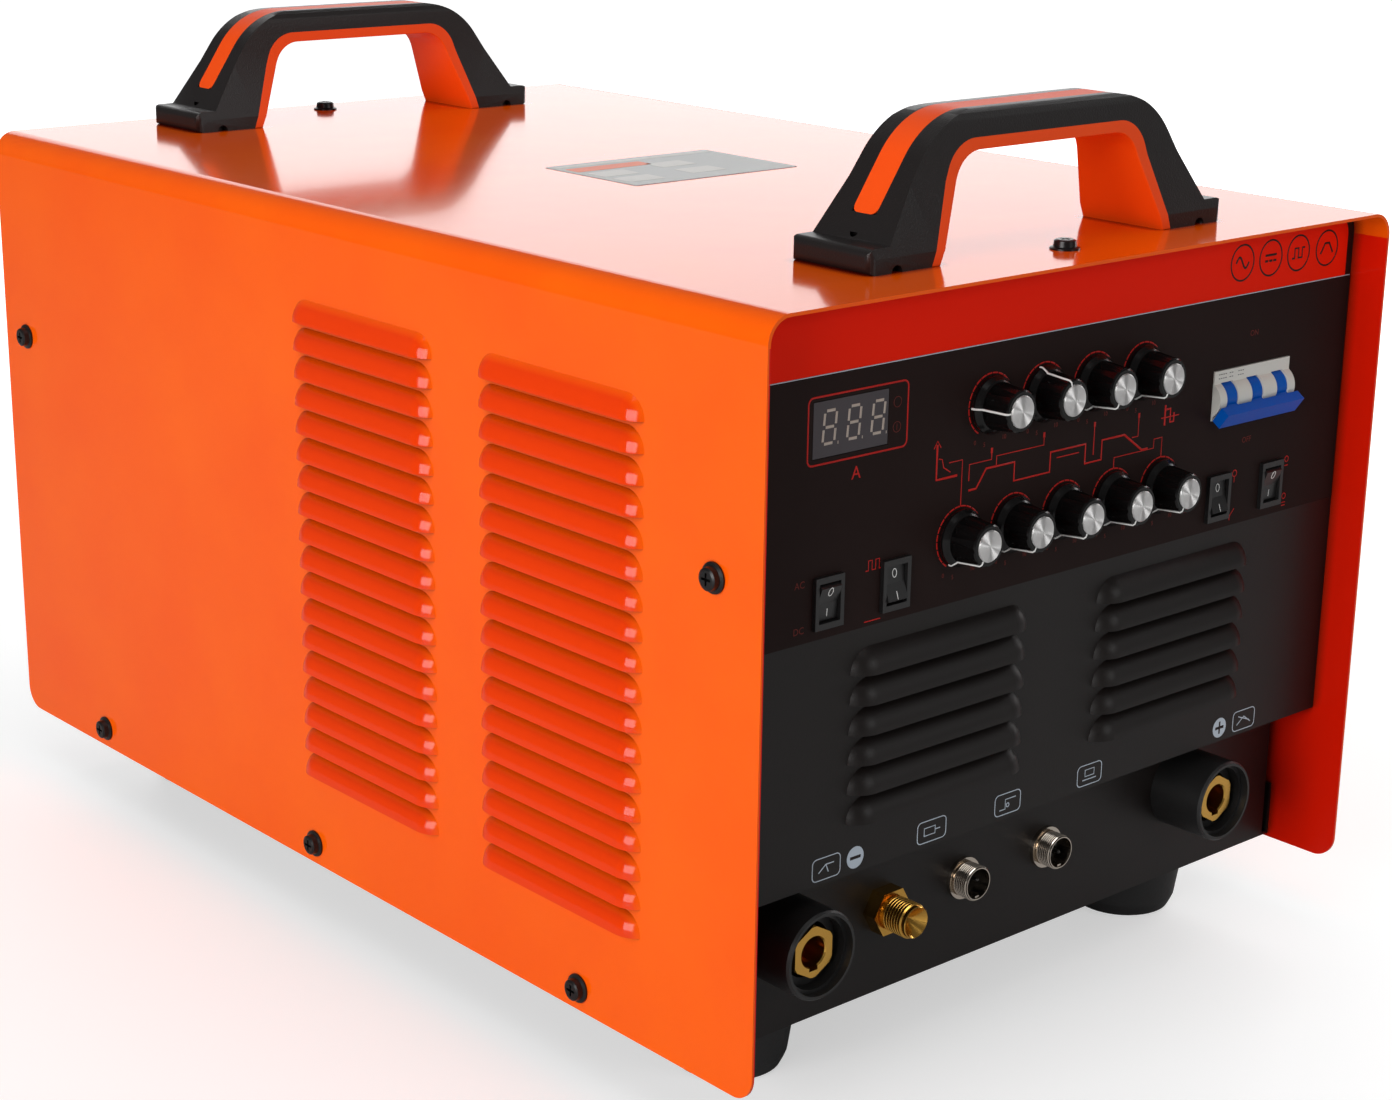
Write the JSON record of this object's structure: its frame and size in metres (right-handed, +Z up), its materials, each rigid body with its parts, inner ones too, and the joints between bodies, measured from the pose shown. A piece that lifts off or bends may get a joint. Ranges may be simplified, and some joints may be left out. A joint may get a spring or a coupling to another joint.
{
  "type": "tig welding machine",
  "caption": "Box-shaped TIG welding power source with a folded cover, carrying handles, knobs, rocker switches, a breaker lever and front output sockets.",
  "frame": {"origin": "on the floor under the middle of the cover", "axes": "+Z up, -Y towards the front panel, +X to the right seen from the front"},
  "size_m": [0.39, 0.59, 0.4036],
  "materials": {
    "cover_paint": "gloss",
    "panel_paint": "satin",
    "printed_film": "satin",
    "zinc_steel": "satin",
    "black_screw": "satin",
    "rubber": "matt",
    "handle_plastic": "fine texture",
    "grip_rubber": "matt",
    "knob_plastic": "gloss",
    "cap_aluminium": "radial brushed",
    "metal_parts": "satin",
    "window": "gloss",
    "board": "satin",
    "switch_plastic": "satin",
    "breaker_white": "satin",
    "breaker_blue": "satin",
    "socket_plastic": "satin",
    "brass": "polished",
    "nickel": "polished",
    "aluminium": "satin",
    "core_iron": "satin"
  },
  "bodies": {
    "chassis": {"cover": "cover_paint", "base_pan": "panel_paint", "front_panel": "panel_paint", "front_films": "printed_film", "rear_panel": "panel_paint", "middle_deck": "zinc_steel", "cover_screws": "black_screw", "m6_screws": "zinc_steel", "rubber_feet": "rubber", "handle_front": "handle_plastic", "handle_front_grip": "grip_rubber", "handle_rear": "handle_plastic", "handle_rear_grip": "grip_rubber", "potentiometers": "metal_parts", "display_window": "window", "display_board": "board", "rocker_switches": "switch_plastic", "breaker_case": "breaker_white", "socket_negative": "socket_plastic", "socket_positive": "socket_plastic", "socket_contacts": "brass", "gas_outlet": "brass", "torch_socket": "nickel", "pedal_socket": "nickel", "control_inserts": "socket_plastic", "fan_frame": "socket_plastic", "fan_guard": "black_screw", "cable_gland": "socket_plastic", "gas_inlet": "brass", "earth_stud": "zinc_steel", "heatsink_stack": "aluminium", "power_board": "board", "main_transformer": "core_iron", "output_choke": "core_iron", "hf_coil": "core_iron", "control_board": "board"},
    "knob_1": {"knob_1": "knob_plastic", "knob_cap_1": "cap_aluminium"},
    "knob_2": {"knob_2": "knob_plastic", "knob_cap_2": "cap_aluminium"},
    "knob_3": {"knob_3": "knob_plastic", "knob_cap_3": "cap_aluminium"},
    "knob_4": {"knob_4": "knob_plastic", "knob_cap_4": "cap_aluminium"},
    "knob_5": {"knob_5": "knob_plastic", "knob_cap_5": "cap_aluminium"},
    "knob_6": {"knob_6": "knob_plastic", "knob_cap_6": "cap_aluminium"},
    "knob_7": {"knob_7": "knob_plastic", "knob_cap_7": "cap_aluminium"},
    "knob_8": {"knob_8": "knob_plastic", "knob_cap_8": "cap_aluminium"},
    "knob_9": {"knob_9": "knob_plastic", "knob_cap_9": "cap_aluminium"},
    "rocker_polarity": {"rocker_polarity": "switch_plastic"},
    "rocker_pulse": {"rocker_pulse": "switch_plastic"},
    "rocker_process": {"rocker_process": "switch_plastic"},
    "rocker_trigger_mode": {"rocker_trigger_mode": "switch_plastic"},
    "breaker_lever": {"breaker_lever": "breaker_blue"},
    "fan_rotor": {"fan_rotor": "socket_plastic"}
  },
  "joints": [
    {"name": "knob_1_turn", "type": "hinge", "parent": "chassis", "child": "knob_1", "pos_m": [-0.0508, -0.2776, 0.289], "axis": [0, 1, 0], "range_deg": [-60, 240]},
    {"name": "knob_2_turn", "type": "hinge", "parent": "chassis", "child": "knob_2", "pos_m": [-0.0194, -0.2776, 0.289], "axis": [0, 1, 0], "range_deg": [-132, 168]},
    {"name": "knob_3_turn", "type": "hinge", "parent": "chassis", "child": "knob_3", "pos_m": [0.012, -0.2776, 0.289], "axis": [0, 1, 0], "range_deg": [0, 300]},
    {"name": "knob_4_turn", "type": "hinge", "parent": "chassis", "child": "knob_4", "pos_m": [0.0434, -0.2776, 0.289], "axis": [0, 1, 0], "range_deg": [0, 300]},
    {"name": "knob_5_turn", "type": "hinge", "parent": "chassis", "child": "knob_5", "pos_m": [-0.0662, -0.2776, 0.2363], "axis": [0, 1, 0], "range_deg": [0, 300]},
    {"name": "knob_6_turn", "type": "hinge", "parent": "chassis", "child": "knob_6", "pos_m": [-0.0348, -0.2776, 0.2363], "axis": [0, 1, 0], "range_deg": [0, 300]},
    {"name": "knob_7_turn", "type": "hinge", "parent": "chassis", "child": "knob_7", "pos_m": [-0.0034, -0.2776, 0.2363], "axis": [0, 1, 0], "range_deg": [0, 300]},
    {"name": "knob_8_turn", "type": "hinge", "parent": "chassis", "child": "knob_8", "pos_m": [0.028, -0.2776, 0.2363], "axis": [0, 1, 0], "range_deg": [0, 300]},
    {"name": "knob_9_turn", "type": "hinge", "parent": "chassis", "child": "knob_9", "pos_m": [0.0594, -0.2776, 0.2363], "axis": [0, 1, 0], "range_deg": [0, 300]},
    {"name": "rocker_polarity_tip", "type": "hinge", "parent": "chassis", "child": "rocker_polarity", "pos_m": [-0.1398, -0.2761, 0.224], "axis": [1, 0, 0], "range_deg": [-24, 0]},
    {"name": "rocker_pulse_tip", "type": "hinge", "parent": "chassis", "child": "rocker_pulse", "pos_m": [-0.103, -0.2761, 0.224], "axis": [1, 0, 0], "range_deg": [0, 24]},
    {"name": "rocker_process_tip", "type": "hinge", "parent": "chassis", "child": "rocker_process", "pos_m": [0.1006, -0.2761, 0.224], "axis": [1, 0, 0], "range_deg": [0, 24]},
    {"name": "rocker_trigger_mode_tip", "type": "hinge", "parent": "chassis", "child": "rocker_trigger_mode", "pos_m": [0.1384, -0.2761, 0.224], "axis": [1, 0, 0], "range_deg": [-24, 0]},
    {"name": "breaker_lever_swing", "type": "hinge", "parent": "chassis", "child": "breaker_lever", "pos_m": [0.1193, -0.2736, 0.269], "axis": [-1, 0, 0], "range_deg": [0, 70]},
    {"name": "fan_spin", "type": "hinge", "parent": "chassis", "child": "fan_rotor", "pos_m": [0, 0.24, 0.117], "axis": [0, 1, 0], "continuous": true}
  ]
}
